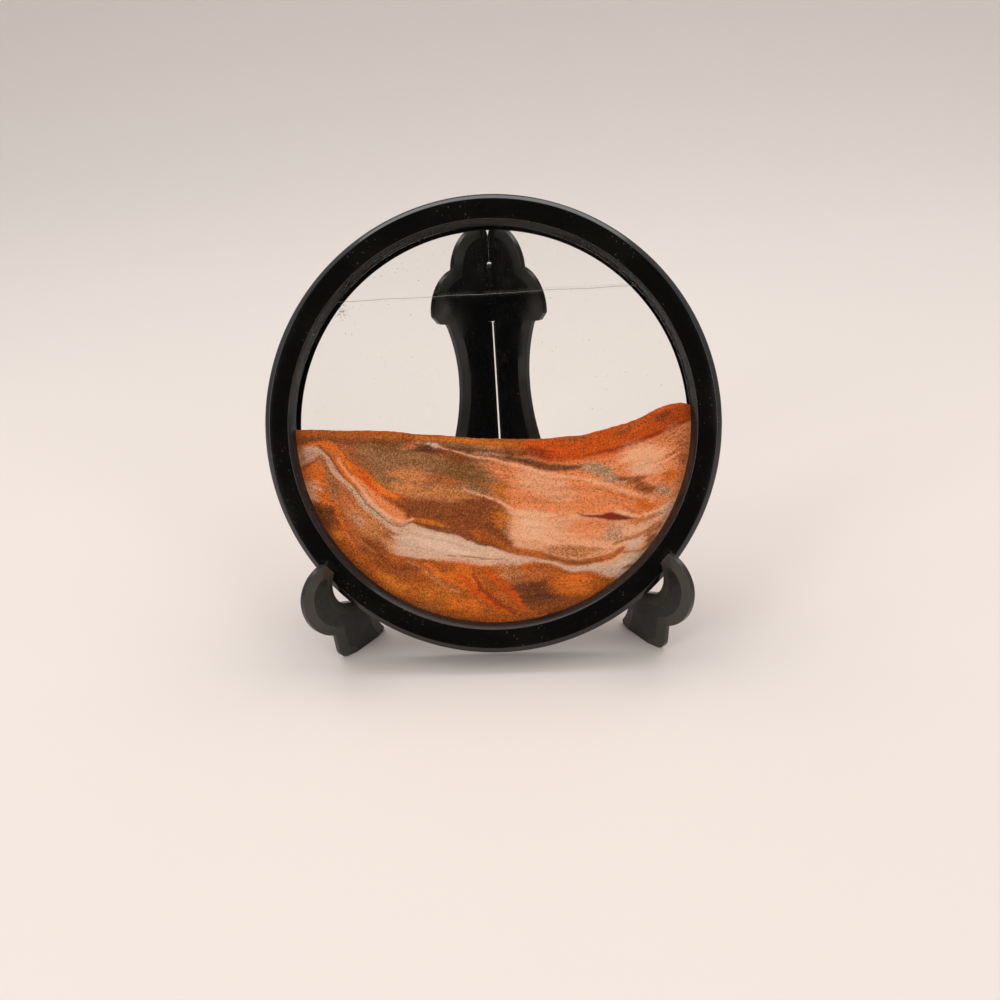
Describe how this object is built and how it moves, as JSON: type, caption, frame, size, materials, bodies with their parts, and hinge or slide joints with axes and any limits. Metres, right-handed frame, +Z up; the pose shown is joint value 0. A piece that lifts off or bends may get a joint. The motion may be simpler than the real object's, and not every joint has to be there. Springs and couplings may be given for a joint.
{
  "type": "moving sand art frame",
  "caption": "Round black-framed moving sand picture with water and layered orange sand between panes of glass, leaning in a folding hinged plastic plate stand.",
  "frame": {"origin": "middle of the object's box in X and Y, on the surface that the stand rests on", "axes": "+X to the picture's right as seen by the viewer, +Y away from the viewer towards the stand's hinge, +Z up; the picture faces -Y and leans back 24.7 degrees"},
  "size_m": [0.18, 0.1028, 0.1711],
  "materials": {
    "ring_plastic": "glossy black moulded plastic",
    "stand_plastic": "satin black moulded plastic",
    "pane_glass": "clear float glass",
    "seal_silicone": "black silicone",
    "plug_rubber": "black rubber",
    "cell_water": "clear water",
    "amber_sand": "fine amber sand",
    "dark_sand": "fine dark brown sand",
    "peach_sand": "fine peach sand",
    "pale_sand": "fine pale pink sand",
    "pin_steel": "plain steel pin"
  },
  "bodies": {
    "hinge_pins": {"upper_hinge_pin": "pin_steel", "lower_hinge_pin": "pin_steel"},
    "right_stand": {"right_leaf": "stand_plastic"},
    "left_stand": {"left_leaf": "stand_plastic"},
    "contents": {"water": "cell_water", "amber_skin_sand": "amber_sand", "dark_streak_sand": "dark_sand", "peach_sand": "peach_sand", "pale_band_sand": "pale_sand", "amber_base_sand": "amber_sand"},
    "picture": {"front_ring": "ring_plastic", "rear_ring": "ring_plastic", "front_glass": "pane_glass", "rear_glass": "pane_glass", "spacer_seal": "seal_silicone", "edge_gasket": "seal_silicone"},
    "plug": {"fill_plug": "plug_rubber"}
  },
  "joints": [
    {"name": "picture_lift", "type": "slide", "parent": "hinge_pins", "child": "contents", "axis": [0, 0.304, 0.9527], "range_m": [0, 0.175]},
    {"name": "picture_turn", "type": "hinge", "parent": "contents", "child": "picture", "pos_m": [0, -0.00494, 0.08719], "axis": [0, -0.9085, 0.4179], "continuous": true},
    {"name": "plug_pull", "type": "slide", "parent": "picture", "child": "plug", "axis": [0, 0.4179, 0.9085], "range_m": [0, 0.012]},
    {"name": "right_fold", "type": "hinge", "parent": "hinge_pins", "child": "right_stand", "pos_m": [0, 0.04886, 0], "axis": [0, 0, -1], "range_deg": [0, 36]},
    {"name": "left_fold", "type": "hinge", "parent": "hinge_pins", "child": "left_stand", "pos_m": [0, 0.04886, 0], "axis": [0, 0, 1], "range_deg": [0, 36]}
  ],
  "couplings": [
    {"joint": "right_fold", "follows": "picture_lift", "rad_per_m": 3.59},
    {"joint": "left_fold", "follows": "picture_lift", "rad_per_m": 3.59}
  ]
}
